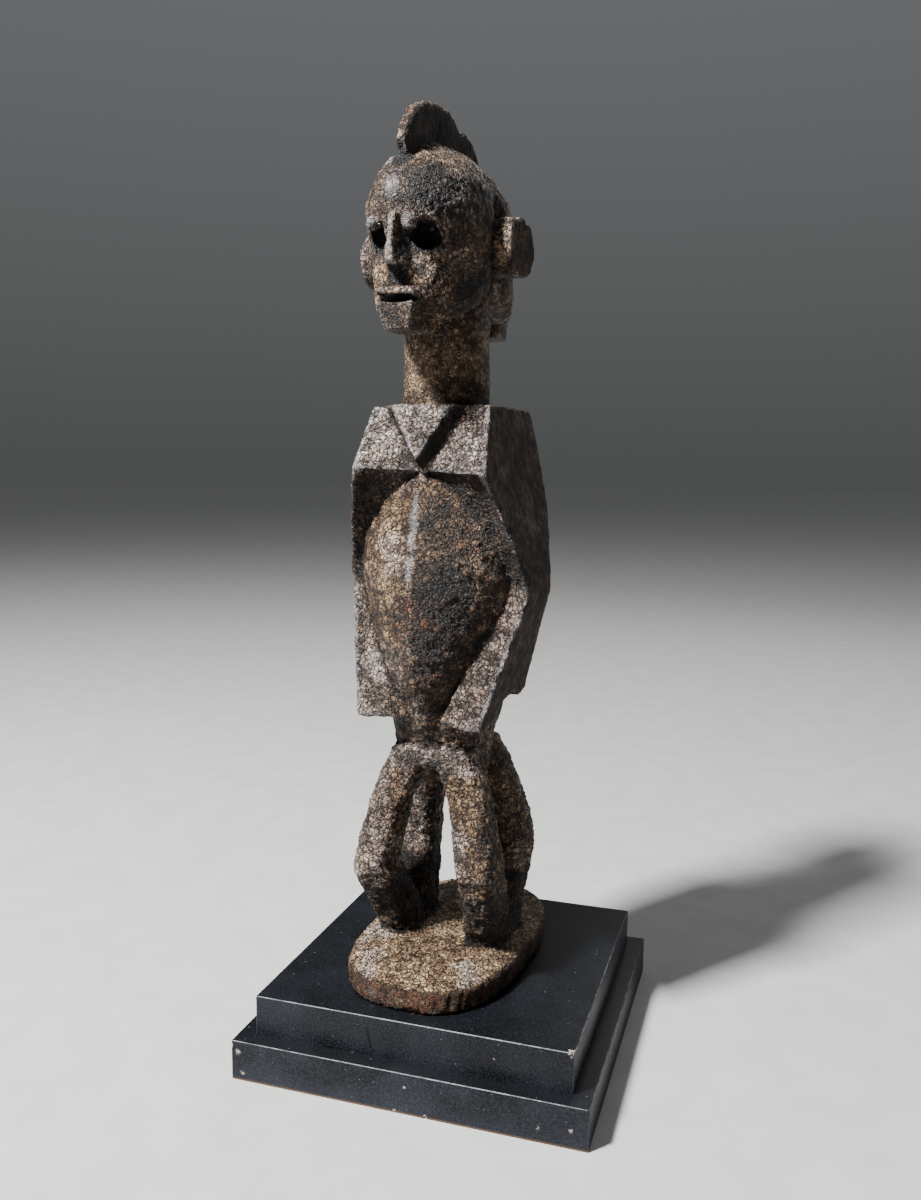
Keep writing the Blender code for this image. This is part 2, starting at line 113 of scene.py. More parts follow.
class Kind(Enum):
    """The shader nodes that the looks are made of, each with its main setting."""

    ATTRIBUTE = ("ShaderNodeAttribute", {})
    BELOW = ("ShaderNodeMath", {"operation": "LESS_THAN"})
    BLEND = ("ShaderNodeMix", {"data_type": "RGBA"})
    BUMP = ("ShaderNodeBump", {})
    CELLS = ("ShaderNodeTexVoronoi", {})
    DISTANCE = ("ShaderNodeVectorMath", {"operation": "DISTANCE"})
    EDGES = ("ShaderNodeTexVoronoi", {"feature": "DISTANCE_TO_EDGE"})
    GEOMETRY = ("ShaderNodeNewGeometry", {})
    LARGER = ("ShaderNodeMath", {"operation": "MAXIMUM"})
    MAPPING = ("ShaderNodeMapping", {})
    MINUS = ("ShaderNodeMath", {"operation": "SUBTRACT"})
    NOISE = ("ShaderNodeTexNoise", {})
    PLACE = ("ShaderNodeTexCoord", {})
    PLUS = ("ShaderNodeMath", {"operation": "ADD"})
    RAMP = ("ShaderNodeValToRGB", {})
    RISE = ("ShaderNodeMapRange", {"interpolation_type": "SMOOTHSTEP"})
    SIZE = ("ShaderNodeMath", {"operation": "ABSOLUTE"})
    SMALLER = ("ShaderNodeMath", {"operation": "MINIMUM"})
    SPLIT = ("ShaderNodeSeparateXYZ", {})
    SPLIT_COLOUR = ("ShaderNodeSeparateColor", {})
    TIMES = ("ShaderNodeMath", {"operation": "MULTIPLY"})
    TIMES_PLUS = ("ShaderNodeMath", {"operation": "MULTIPLY_ADD"})
    VECTOR_MINUS = ("ShaderNodeVectorMath", {"operation": "SUBTRACT"})
    VECTOR_TIMES = ("ShaderNodeVectorMath", {"operation": "MULTIPLY"})
    VECTOR_TIMES_PLUS = ("ShaderNodeVectorMath", {"operation": "MULTIPLY_ADD"})


def linear(code: str) -> Colour:
    """Turns an sRGB hex colour into linear red, green, blue and alpha.

    Args:
        code: Six hex digits with a leading hash sign.

    Returns:
        The linear colour, opaque.
    """
    parts = [int(code[i:i + 2], 16) / 255 for i in (1, 3, 5)]
    bright = [p / 12.92 if p <= 0.04045 else ((p + 0.055) / 1.055) ** 2.4 for p in parts]
    return (bright[0], bright[1], bright[2], 1.0)


def join(tree: bpy.types.NodeTree, value: object, socket: Socket) -> None:
    """Links something to an input, or sets the input's own value.

    Args:
        tree: The node tree.
        value: A socket, a node that stands for its first output, a number or a colour.
        socket: The input.
    """
    if isinstance(value, bpy.types.Node):
        value = next(output for output in value.outputs if output.enabled)
    if isinstance(value, Socket):
        tree.links.new(value, socket)
    else:
        socket.default_value = value


def add_node(tree: bpy.types.NodeTree, kind: Kind, *values: object,
             stops: Stops = (), **settings: object) -> bpy.types.Node:
    """Adds one shader node with its settings and links.

    Args:
        tree: The node tree that it joins.
        kind: Which node it is, with its main setting.
        values: What its inputs get, in order, of those that it shows; None leaves one as it is.
        stops: Position and sRGB colour of each stop, where it is a ramp.
        settings: More of its own properties.

    Returns:
        The new node.
    """
    name, chosen = kind.value
    made = tree.nodes.new(name)
    for key, value in {**chosen, **settings}.items():
        setattr(made, key, value)
    for number, (position, code) in enumerate(stops):
        marks = made.color_ramp.elements
        mark = marks[number] if number < len(marks) else marks.new(position)
        mark.position = position
        mark.color = linear(code)
    shown = [socket for socket in made.inputs if socket.enabled]
    for socket, value in zip(shown, values):
        if value is not None:
            join(tree, value, socket)
    return made


def deselect() -> None:
    """Leaves nothing selected, because operators act on all that is."""
    for thing in bpy.context.view_layer.objects:
        thing.select_set(False)


def take(piece: bpy.types.Object) -> None:
    """Selects one piece alone and makes it active.

    Args:
        piece: The piece.
    """
    deselect()
    piece.select_set(True)
    bpy.context.view_layer.objects.active = piece


def soft(low: float, high: float, value: np.ndarray) -> np.ndarray:
    """0 at low and 1 at high, with soft ends; low may be the greater."""
    t = np.clip((value - low) / (high - low), 0.0, 1.0)
    return t * t * (3 - 2 * t)


def band(value: np.ndarray, low: float, high: float, fade: float) -> np.ndarray:
    """1 between low and high, fading out beyond them."""
    return soft(low - fade, low, value) * soft(high + fade, high, value)


@dataclass(frozen=True)
class Spot:
    """A patch of the surface with soft edges, in the figure's own millimetres."""

    at: Place
    reach: Place
    amount: float = 1.0
    core: float = 0.4

    def on(self, own: np.ndarray) -> np.ndarray:
        """How much of the spot each point has."""
        away = np.linalg.norm((own - np.array(self.at)) / np.array(self.reach), axis=1)
        return self.amount * soft(1.0, self.core, away)


def patches(spots: tuple[Spot, ...], own: np.ndarray) -> np.ndarray:
    """Adds up what the spots give each point."""
    return sum(spot.on(own) for spot in spots)


@dataclass(frozen=True)
class CrustedWood:
    """Old hardwood, adze-carved, under a thick smoked and offering-caked crust.

    The crust has dried into flakes a few millimetres wide: their tops are tan and grey and catch
    the light, the cracks between them are nearly black. Where hands have rubbed it the crust is
    thin, grey and half glossy, and the same pale grey paints highlights there; where it has chipped
    off, the wood beneath shows orange-brown.
    """

    crack: str = "#060403"
    tones: Stops = (
        (0.0, "#0c0705"), (0.22, "#251810"), (0.45, "#533e2d"), (0.7, "#8f7357"), (1.0, "#cdb08c"),
    )
    ashes: Stops = (
        (0.0, "#120e0d"), (0.3, "#463c38"), (0.6, "#8f8380"), (1.0, "#ddd4d1"),
    )
    bare: Stops = ((0.25, "#331b12"), (0.5, "#70422b"), (0.8, "#b58560"))
    veins: Stops = ((0.32, "#030202"), (0.55, "#0c0705"), (0.8, "#2b1a13"))
    # Pale grey of the polish, which also paints highlights.
    rubbed_and_highlit: str = "#a5a1a1"
    flake_mm: float = 2.5
    crumb_mm: float = 1.2
    worm_mm: float = 2.4
    grit_mm: float = 1.1
    grain_mm: float = 1.1  # the wood's own grain, about 0.4 mm, is too fine to show: drawn coarser
    grain_length_mm: float = 26.0
    bend_mm: float = 2.4
    bend_reach_mm: float = 1.5
    patch_mm: float = 11.0
    relief_mm: float = 0.7
    mean: float = 0.88
    shade_share: float = 0.26
    grit_share: float = 0.42
    patch_share: float = 0.42
    crust_share: float = 0.55
    crack_width: Span = (0.03, 0.12)
    worm_width: Span = (0.006, 0.026)
    crumb_width: Span = (0.0, 0.1)
    matt: float = 0.54
    satin: float = 0.4
    ior: float = 1.5
    specular: float = 0.36

    def make(self) -> bpy.types.Material:
        """Builds the material.

        Returns:
            The material, which reads the zones that the figure's mesh carries.
        """
        material = bpy.data.materials.new("crusted hardwood")
        material.use_nodes = True
        tree = material.node_tree
        add = partial(add_node, tree)
        place = add(Kind.PLACE).outputs["Object"]
        zone = {
            kind: add(Kind.ATTRIBUTE, attribute_name=kind.value).outputs["Fac"] for kind in Zone
        }

        push = add(Kind.NOISE, place, 1 / (self.bend_mm * MM), 2.0, 0.55).outputs["Color"]
        centred = add(Kind.VECTOR_MINUS, push, (0.5, 0.5, 0.5))
        bent = add(Kind.VECTOR_TIMES_PLUS, centred, (2 * self.bend_reach_mm * MM,) * 3, place)
        crack = add(Kind.EDGES, bent, 1 / (self.flake_mm * MM))
        flake = add(Kind.CELLS, bent, 1 / (self.flake_mm * MM))
        shade, rise, bareness = add(Kind.SPLIT_COLOUR, flake.outputs["Color"]).outputs
        crumbs = add(Kind.EDGES, bent, 1 / (self.crumb_mm * MM))
        lines = add(Kind.NOISE, place, 1 / (self.worm_mm * MM), 1.5, 0.55)
        worm = add(Kind.SIZE, add(Kind.MINUS, lines, 0.5))
        grit = add(Kind.NOISE, place, 1 / (self.grit_mm * MM), 5.0, 0.65)
        patch = add(Kind.NOISE, place, 1 / (self.patch_mm * MM), 4.0, 0.6)
        drawn = (1.0, 1.0, self.grain_mm / self.grain_length_mm)
        upright = add(Kind.MAPPING, place, None, None, drawn)
        grain = add(Kind.NOISE, upright, 1 / (self.grain_mm * MM), 4.0, 0.6)

        # How light each place is: its zone's tone, and each pattern's share above the mean of all.
        level = add(Kind.MINUS, zone[Zone.TONE], self.mean)
        shares = (
            (shade, self.shade_share), (grit, self.grit_share), (patch, self.patch_share),
            (zone[Zone.CRUST], self.crust_share),
        )
        for pattern, share in shares:
            level = add(Kind.TIMES_PLUS, pattern, share, level)
        ashen = add(Kind.TIMES, zone[Zone.ASH], add(Kind.RISE, rise, 0.1, 0.6, 0.45, 1.0))
        brown = add(Kind.RAMP, level, stops=self.tones)
        grey = add(Kind.RAMP, level, stops=self.ashes)
        colour = add(Kind.BLEND, ashen, brown, grey)

        # Bare wood shows in the rusty zones, and here and there where a flake has gone.
        rusty = add(Kind.TIMES, zone[Zone.RUST], add(Kind.RISE, bareness, 0.35, 0.6, 0.0, 1.0))
        lost = add(Kind.RISE, add(Kind.PLUS, bareness, patch), 1.46, 1.56, 0.0, 0.35)
        fibre = add(Kind.TIMES_PLUS, grit, 0.5, add(Kind.TIMES, grain, 0.5))
        bare = add(Kind.RAMP, fibre, stops=self.bare)
        colour = add(Kind.BLEND, add(Kind.LARGER, rusty, lost), colour, bare)

        # Hands have rubbed the ridges pale, and the same pale grey paints highlights; on the flanks
        # the crust is thin and grain shows.
        polish_and_highlight = add(Kind.TIMES, zone[Zone.RUBBED_AND_HIGHLIT], add(Kind.RISE, grit, 0.3, 0.6, 0.3, 1.0))
        colour = add(Kind.BLEND, add(Kind.TIMES, polish_and_highlight, 0.85), colour, linear(self.rubbed_and_highlit))
        veins = add(Kind.RAMP, grain, stops=self.veins)
        colour = add(Kind.BLEND, add(Kind.TIMES, zone[Zone.GRAIN], 0.92), colour, veins)

        # The cracks are nearly black, and are fewer where the wood is smooth.
        cut = add(Kind.RISE, crack, *self.crack_width, 0.95, 0.0)
        cut = add(Kind.LARGER, cut, add(Kind.RISE, worm, *self.worm_width, 0.8, 0.0))
        cut = add(Kind.LARGER, cut, add(Kind.RISE, crumbs, *self.crumb_width, 0.25, 0.0))
        sleek = add(Kind.LARGER, zone[Zone.GRAIN], add(Kind.TIMES, polish_and_highlight, 0.75))
        cut = add(Kind.TIMES, cut, add(Kind.RISE, sleek, 0.0, 1.0, 1.0, 0.15))
        colour = add(Kind.BLEND, cut, colour, linear(self.crack))

        # Flakes stand at different heights, and the cracks, the grit and the grain are cut in.
        raised = add(Kind.TIMES_PLUS, rise, 0.5, add(Kind.RISE, crack, 0.0, 0.18, 0.0, 1.0))
        raised = add(Kind.PLUS, raised, add(Kind.RISE, worm, 0.0, 0.06, 0.0, 1.0))
        raised = add(Kind.PLUS, raised, add(Kind.RISE, crumbs, 0.0, 0.25, 0.0, 0.3))
        raised = add(Kind.TIMES_PLUS, grit, 1.5, raised)
        raised = add(Kind.TIMES, raised, add(Kind.RISE, sleek, 0.0, 1.0, 1.0, 0.2))
        raised = add(Kind.TIMES_PLUS, add(Kind.TIMES, grain, zone[Zone.GRAIN]), 2.4, raised)
        bump = add(Kind.BUMP, 1.0, self.relief_mm * MM, None, raised)

        # Half glossy where it is polished, and dull where the grain shows.
        dull = add(Kind.RISE, level, 0.2, 0.9, self.matt, self.satin)
        dull = add(Kind.TIMES, dull, add(Kind.RISE, polish_and_highlight, 0.0, 1.0, 1.0, 0.6))
        dull = add(Kind.TIMES_PLUS, zone[Zone.GRAIN], 0.36, dull)
        looks = {
            "Base Color": colour,
            "Roughness": dull,
            "Normal": bump,
            "IOR": self.ior,
            "Specular IOR Level": self.specular,
        }
        for name, value in looks.items():
            join(tree, value, tree.nodes["Principled BSDF"].inputs[name])
        return material


@dataclass(frozen=True)
class BlackPaint:
    """Black satin paint on planed wood, dulled by fine grey dust.

    The eye sees a blue-black surface with pale specks, worn to a thin light line along the edges
    that stand out, and a brown line where the bare underside begins. The marks are small chips.
    """

    paint: str = "#07080a"
    haze: str = "#30333b"
    speck: str = "#8d929c"
    worn: str = "#a9abb0"
    chip: str = "#cbbfae"
    under: str = "#6b5038"
    scratch: str = "#060608"
    speck_mm: float = 1.0  # dust is finer than a render can show, so its specks are drawn coarser
    dot_mm: float = 3.4
    cloud_mm: float = 26.0
    ragged_mm: float = 7.0
    torn_mm: float = 2.2
    relief_mm: float = 0.12
    rim_mm: Span = (0.42, 0.22)
    post_mm: Span = (0.6, 0.3)
    foot_mm: Span = (0.5, 1.5)
    foot_dust_mm: Span = (1.0, 12.0)
    scratch_mm: Span = (0.6, 0.9)
    polished: float = 0.36
    dusty: float = 0.62
    ior: float = 1.45
    specular: float = 0.22
    marks: tuple[Ball, ...] = (
        (-84.5, -87.8, 14.5, 2.2), (-82.0, -87.8, 4.0, 1.8), (65.0, -87.8, 7.0, 1.4),
        (79.5, -87.8, 9.0, 1.6), (42.0, -79.0, 30.0, 0.9), (2.0, -87.8, 13.5, 1.1),
        (77.6, -77.6, 39.7, 2.8), (-3.0, -87.8, 1.2, 1.2), (12.0, -87.8, 1.0, 1.4),
    )
    scratch_from: Span = (-20.4, 33.5)
    scratch_to: Span = (-18.6, 25.0)

    def make(self, lower: float, upper: float, step: float, top: float) -> bpy.types.Material:
        """Builds the material.

        Args:
            lower: Side of the lower step, mm.
            upper: Side of the upper step, mm.
            step: Height of the lower step, mm.
            top: Height of the upper step, mm.

        Returns:
            The material, which reads Object coordinates and the normal alone.
        """
        material = bpy.data.materials.new("black satin paint")
        material.use_nodes = True
        tree = material.node_tree
        add = partial(add_node, tree)
        place = add(Kind.PLACE).outputs["Object"]
        scaled = add(Kind.VECTOR_TIMES, place, (1 / MM,) * 3)
        right, deep, up = add(Kind.SPLIT, scaled).outputs
        across = add(Kind.SIZE, right)
        along = add(Kind.SIZE, deep)
        far = add(Kind.LARGER, across, along)
        near = add(Kind.SMALLER, across, along)
        ragged = add(Kind.NOISE, place, 1 / (self.ragged_mm * MM), 6.0, 0.75)
        torn = add(Kind.NOISE, place, 1 / (self.torn_mm * MM), 4.0, 0.7)

        # Paint has worn off in a thin line along each step's top edges and faintly up its corners.
        edges: object = 0.0
        outer, inner = self.rim_mm
        post_outer, post_inner = self.post_mm
        for half, foot, level in ((lower / 2, -1.0, step), (upper / 2, step, top)):
            rim = add(Kind.TIMES, add(Kind.RISE, far, half - outer, half - inner, 0.0, 1.0),
                      add(Kind.RISE, up, level - outer, level - inner, 0.0, 1.0))
            post = add(Kind.RISE, near, half - post_outer, half - post_inner, 0.0, 0.25)
            post = add(Kind.TIMES, post, add(Kind.RISE, up, foot, foot + 0.5, 0.0, 1.0))
            here = add(Kind.RISE, up, level + 0.1, level + 0.3, 1.0, 0.0)
            both = add(Kind.TIMES, add(Kind.LARGER, rim, post), here)
            edges = add(Kind.LARGER, edges, both)
        worn = add(Kind.TIMES, edges, add(Kind.RISE, ragged, 0.42, 0.62, 0.08, 0.6))

        # Dust lies in clouds of fine specks, thicker near the foot and thin on the flat tops.
        cloud = add(Kind.NOISE, place, 1 / (self.cloud_mm * MM), 5.0, 0.6)
        dust = add(Kind.NOISE, place, 1 / (self.speck_mm * MM), 3.0, 0.8)
        specks = add(Kind.CELLS, place, 1 / (self.dot_mm * MM))
        chance = add(Kind.SPLIT_COLOUR, specks.outputs["Color"])
        dot = add(Kind.BELOW, specks, add(Kind.RISE, chance, 0.3, 1.0, 0.0, 0.1))
        normal = add(Kind.SPLIT, add(Kind.GEOMETRY).outputs["Normal"])
        flat = add(Kind.SIZE, normal.outputs["Z"])
        haze = add(Kind.PLUS, add(Kind.RISE, cloud, 0.35, 0.7, 0.0, 0.3),
                   add(Kind.RISE, dust, 0.42, 0.72, 0.0, 0.7))
        haze = add(Kind.PLUS, haze, add(Kind.RISE, up, *self.foot_dust_mm, 0.25, 0.0))
        haze = add(Kind.TIMES, haze, add(Kind.RISE, flat, 0.3, 0.9, 1.0, 0.35))
        colour = add(Kind.BLEND, haze, linear(self.paint), linear(self.haze))
        colour = add(Kind.BLEND, add(Kind.TIMES, dot, 0.35), colour, linear(self.speck))
        foot_line = add(Kind.RISE, up, *self.foot_mm, 0.75, 0.0)
        colour = add(Kind.BLEND, foot_line, colour, linear(self.under))
        colour = add(Kind.BLEND, worn, colour, linear(self.worn))

        # Chips, each with a torn outline round its own place.
        for x, y, z, radius in self.marks:
            away = add(Kind.TIMES_PLUS, torn, radius * 3.0, add(Kind.DISTANCE, scaled, (x, y, z)))
            bite = add(Kind.RISE, away, radius * 1.8, radius * 2.3, 0.7, 0.0)
            bite = add(Kind.TIMES, bite, add(Kind.RISE, dust, 0.4, 0.6, 0.0, 1.0))
            colour = add(Kind.BLEND, bite, colour, linear(self.chip))

        # One dark scratch down the front of the upper step.
        (x0, z0), (x1, z1) = self.scratch_from, self.scratch_to
        fade = self.scratch_mm[0]
        slope = (x1 - x0) / (z1 - z0)
        line = add(Kind.MINUS, right, add(Kind.TIMES_PLUS, up, slope, x0 - slope * z0))
        inside = add(Kind.RISE, add(Kind.SIZE, line), *self.scratch_mm, 1.0, 0.0)
        inside = add(Kind.TIMES, inside, add(Kind.RISE, up, z1 - fade, z1, 0.0, 1.0))
        inside = add(Kind.TIMES, inside, add(Kind.RISE, up, z0, z0 + fade, 1.0, 0.0))
        inside = add(Kind.TIMES, inside, add(Kind.BELOW, deep, 1 - upper / 2))
        colour = add(Kind.BLEND, add(Kind.TIMES, inside, 0.9), colour, linear(self.scratch))

        looks = {
            "Base Color": colour,
            "Roughness": add(Kind.RISE, haze, 0.1, 0.6, self.polished, self.dusty),
            "Normal": add(Kind.BUMP, 0.5, self.relief_mm * MM, None, dust),
            "IOR": self.ior,
            "Specular IOR Level": self.specular,
        }
        for name, value in looks.items():
            join(tree, value, tree.nodes["Principled BSDF"].inputs[name])
        return material


@dataclass(frozen=True)
class PalePaper:
    """Matt uncoated studio paper: even pale grey, without shine, with the faintest cloudiness."""

    paper: str = "#b9b8b6"
    fleck: str = "#b4b3b1"
    fleck_mm: float = 30.0
    roughness: float = 0.95

    def make(self) -> bpy.types.Material:
        """Builds the material.

        Returns:
            The material, which reads Object coordinates alone.
        """
        material = bpy.data.materials.new("pale paper")
        material.use_nodes = True
        tree = material.node_tree
        add = partial(add_node, tree)
        place = add(Kind.PLACE).outputs["Object"]
        cloud = add(Kind.NOISE, place, 1 / (self.fleck_mm * MM), 3.0, 0.55)
        fleck = add(Kind.RISE, cloud, 0.4, 0.6, 0.0, 1.0)
        colour = add(Kind.BLEND, fleck, linear(self.paper), linear(self.fleck))
        shader = tree.nodes["Principled BSDF"]
        join(tree, colour, shader.inputs["Base Color"])
        join(tree, self.roughness, shader.inputs["Roughness"])
        return material


@dataclass(frozen=True)
class Skin:
    """The figure's refined surface point by point, with the noises that carve and colour it.

    Points and normals are in the row frame, and own ones in the figure's own millimetres and axes.
    Swell is how far a point stands out, mm. Crack grows from 0 in the cracks between the flakes,
    and the other noises are about -1 to 1.
    """

    points: np.ndarray
    normals: np.ndarray
    own: np.ndarray
    own_normals: np.ndarray
    swell: np.ndarray
    crack: np.ndarray
    lump: np.ndarray
    broad: np.ndarray
    strand: np.ndarray
    clouds: np.ndarray
    chips: np.ndarray
    flat_top: float = 0.28
    shake_mm: Span = (1.3, 3.0)

    @property
    def shaken(self) -> np.ndarray:
        """Moves the own points by the noises, so that no spot has a smooth outline.

        Returns:
            The moved points, in the figure's own millimetres.
        """
        across, upward = self.shake_mm
        moves = [across * self.chips, 0 * self.chips, upward * self.clouds]
        return self.own + np.stack(moves, axis=1)

    @property
    def flakes(self) -> np.ndarray:
        """How high each point lies on its flake, from 0 in the crack to 1 on the flat top."""
        return np.clip(self.crack / self.flat_top, 0, 1) ** 0.7


@dataclass
class CarvedFigure:
    """The figure and its oval base slab, carved from one block.

    Heights are from the slab's underside, and a pair of them is where something begins and ends.
    x is across the body and y runs from the front face to the rear face, in the figure's own
    turned coordinates. The rear is as plain as rear_share says.
    """

    shift: Span = (-6.0, -2.0)
    turn: float = -4.63
    weld_mm: float = 0.01
    voxel_mm: float = 0.8
    triangles: int = 194_000
    wear_turns: int = 3
    wear_factor: float = 0.5
    swell_rounds: int = 14
    rear_share: float = 0.7
    seed: int = 7
    flake_mm: float = 3.3
    bend_mm: float = 3.6
    bend_reach_mm: float = 2.2
    lump_mm: float = 7.0
    broad_mm: float = 19.0
    cloud_mm: float = 26.0
    chip_mm: float = 5.0
    strand_mm: float = 1.6
    strand_length_mm: float = 24.0
    flake_rise: float = 0.62
    lump_rise: float = 0.6
    broad_rise: float = 0.5
    strand_rise: float = 0.25
    strand_cut: float = 0.5
    chip_depth: float = 1.4
    crest_chip_depth: float = 1.0
    mouth_depth: float = 1.8
    slab_rim: float = 12.5
    ankles: Span = (19.0, 44.0)
    legs: Span = (50.0, 118.0)
    bars: Span = (107.0, 117.0)
    hand_bottom: float = 131.0
    elbow: float = 197.0
    hollow_bottom: float = 204.0
    plate_bottom: float = 254.3
    shoulder_top: float = 286.0
    panel_middle: float = -2.6
    neck: Span = (288.0, 320.0)
    neck_radius: float = 22.0
    chin_to_lips: Span = (317.0, 336.0)
    lip_reach: float = 50.0
    mouth_height: float = 331.2
    mouth_middle: float = -5.3
    mouth_dip: float = 0.03
    ears: Span = (345.0, 378.0)
    ear_middle: float = -3.6
    brows: Span = (366.0, 388.0)
    crest_foot: float = 400.0
    crest_middle: float = -4.8
    belly_middle: float = -1.8
    belly_halves: tuple[Span, ...] = (
        (150.0, 16.8), (166.0, 24.4), (182.0, 32.4), (196.0, 38.6), (208.0, 40.0), (220.0, 37.0),
        (232.0, 31.0), (242.0, 23.0), (253.0, 6.0),
    )
    knobs: tuple[Place, ...] = (
        (2.6, -56.4, 364.2), (-15.8, -55.4, 365.4), (2.6, 53.4, 364.2), (-15.8, 53.2, 365.0),
    )
    knob_radius: float = 3.7
    knob_rub_and_highlight: Place = (4.4, 5.0, 4.4)
    gouge_lean: float = 0.12
    gouge_half: Span = (1.1, 0.2)
    gouges: tuple[tuple[float, float, float], ...] = (  # place across, height and depth of each
        (31.9, 9.0, 1.2), (35.1, 7.5, 1.0), (27.4, 8.0, 0.8), (21.5, 6.5, 0.7), (38.6, 7.0, 0.9),
        (15.0, 5.0, 0.6), (-12.0, 5.5, 0.6), (-27.0, 6.0, 0.7),
    )
    # Patches that hands have polished, which also paint highlights: the forehead's shine, the ridges
    # of the nose and belly, the front-left leg and the left arm, fainter on the rear face.
    rubs_and_highlights: tuple[Spot, ...] = (
        Spot((-6.0, -57.0, 380.5), (5.0, 16.0, 8.0), 1.2, 0.4),
        Spot((-4.4, -63.0, 357.0), (2.0, 14.0, 13.0), 1.2, 0.7),
        Spot((-2.6, -44.0, 225.0), (2.4, 14.0, 29.0), 1.3, 0.8),
        Spot((-31.0, -18.0, 84.0), (7.0, 12.0, 26.0), 0.55),
        Spot((-30.0, -34.0, 160.0), (7.0, 20.0, 10.0), 0.5),
        Spot((-6.0, 57.0, 380.0), (6.0, 16.0, 8.0), 0.6, 0.3),
        Spot((-4.0, 63.0, 357.0), (2.6, 14.0, 13.0), 0.7, 0.6),
        Spot((-2.2, 44.0, 226.0), (3.2, 14.0, 28.0), 0.6, 0.6),
    )
    rusts: tuple[Spot, ...] = (
        Spot((3.0, -44.0, 186.0), (13.0, 16.0, 13.0), 1.0),
        Spot((-6.0, -44.0, 176.0), (9.0, 16.0, 10.0), 0.7),
        Spot((28.0, -30.0, 203.0), (8.0, 16.0, 9.0), 0.7),
        Spot((9.0, -52.0, 338.0), (9.0, 12.0, 8.0), 0.7),
        Spot((8.0, -56.0, 366.0), (7.0, 9.0, 6.0), 0.5),
        Spot((-12.0, -56.0, 368.0), (7.0, 9.0, 6.0), 0.5),
        Spot((34.0, -9.0, 352.0), (5.0, 9.0, 9.0), 0.8),
        Spot((24.0, -38.0, 276.0), (9.0, 9.0, 9.0), 0.35),
        Spot((-46.0, -36.0, 136.0), (5.0, 9.0, 6.0), 0.8),
        Spot((0.0, 44.0, 190.0), (14.0, 16.0, 14.0), 0.5),
    )
    breaks: tuple[Spot, ...] = (
        Spot((-6.5, -52.0, 397.0), (5.0, 4.0, 4.0), 2.4, 0.3),
        Spot((-3.0, -48.5, 390.5), (3.0, 4.0, 3.0), 1.2, 0.3),
        Spot((-49.0, -38.0, 133.0), (6.0, 7.0, 3.5), 1.5, 0.3),
        Spot((-14.0, -44.0, 131.0), (5.0, 6.0, 3.0), 1.4, 0.3),
        Spot((33.5, -43.0, 255.5), (3.0, 4.0, 3.0), 1.0, 0.3),
        Spot((-5.0, 20.5, 425.0), (4.0, 3.0, 3.0), 0.8, 0.3),
    )
    # Paler patches: a chip on the crest, the slab's middle and the legs are the crust's own colour;
    # on the left cheek, the belly's left side, the neck's left side and the ear's rim they are
    # painted light.
    pales_and_painted_light: tuple[Spot, ...] = (
        Spot((-5.9, -51.5, 404.0), (4.0, 4.0, 2.6), 0.6, 0.5),
        Spot((-15.0, -50.0, 342.0), (12.0, 18.0, 14.0), 0.2),
        Spot((11.0, -54.0, 349.0), (8.0, 14.0, 7.0), 0.22),
        Spot((16.0, -30.0, 396.0), (22.0, 22.0, 12.0), 0.14),
        Spot((-18.0, -38.0, 218.0), (17.0, 18.0, 52.0), 0.24),
        Spot((22.0, -22.0, 86.0), (12.0, 14.0, 38.0), 0.36),
        Spot((-14.0, -14.0, 302.0), (14.0, 14.0, 26.0), 0.2),
        Spot((2.0, 0.0, 15.5), (30.0, 30.0, 5.0), 0.16),
        Spot((-30.0, -22.0, 88.0), (12.0, 14.0, 34.0), 0.16),
        Spot((31.0, -13.0, 362.0), (7.0, 8.0, 15.0), 0.3),
    )
    # Darker patches: on the forehead and at a break in the crest they are the crust's own colour; in
    # the eyes of both faces, under and beside the nose, on the jaw's side, on the belly's lower
    # right and round the waist they are painted shade.
    darks_and_painted_shade: tuple[Spot, ...] = (
        Spot((-16.0, -50.0, 359.0), (9.0, 9.5, 8.0), 0.7, 0.7),
        Spot((8.0, -50.0, 359.0), (10.0, 9.5, 8.0), 0.7, 0.7),
        Spot((-16.0, 50.0, 359.0), (9.0, 9.5, 8.0), 0.7, 0.7),
        Spot((8.0, 50.0, 359.0), (10.0, 9.5, 8.0), 0.7, 0.7),
        Spot((24.0, -22.0, 336.0), (16.0, 26.0, 18.0), 0.25),
        Spot((8.0, -46.0, 379.0), (26.0, 26.0, 15.0), 0.3),
        Spot((20.0, -20.0, 386.0), (20.0, 30.0, 12.0), 0.16),
        Spot((16.0, -42.0, 180.0), (24.0, 20.0, 52.0), 0.3),
        Spot((-24.0, -18.0, 40.0), (12.0, 14.0, 18.0), 0.16),
        Spot((-5.0, -49.0, 396.0), (6.0, 8.0, 6.5), 0.9, 0.7),
        Spot((-3.5, -58.0, 341.5), (8.0, 8.0, 5.0), 0.45),
        Spot((1.2, -60.0, 352.0), (3.4, 9.0, 10.0), 0.3, 0.6),
        Spot((-5.0, 0.0, 126.0), (32.0, 36.0, 8.0), 0.36, 0.6),
        Spot((-4.0, 0.0, 100.0), (9.0, 30.0, 7.0), 0.3, 0.5),
    )
    base: float = field(init=False)

    def __post_init__(self) -> None:
        """Reads from the frame how high the figure's underside is."""
        self.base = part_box("figure")[0].z / MM

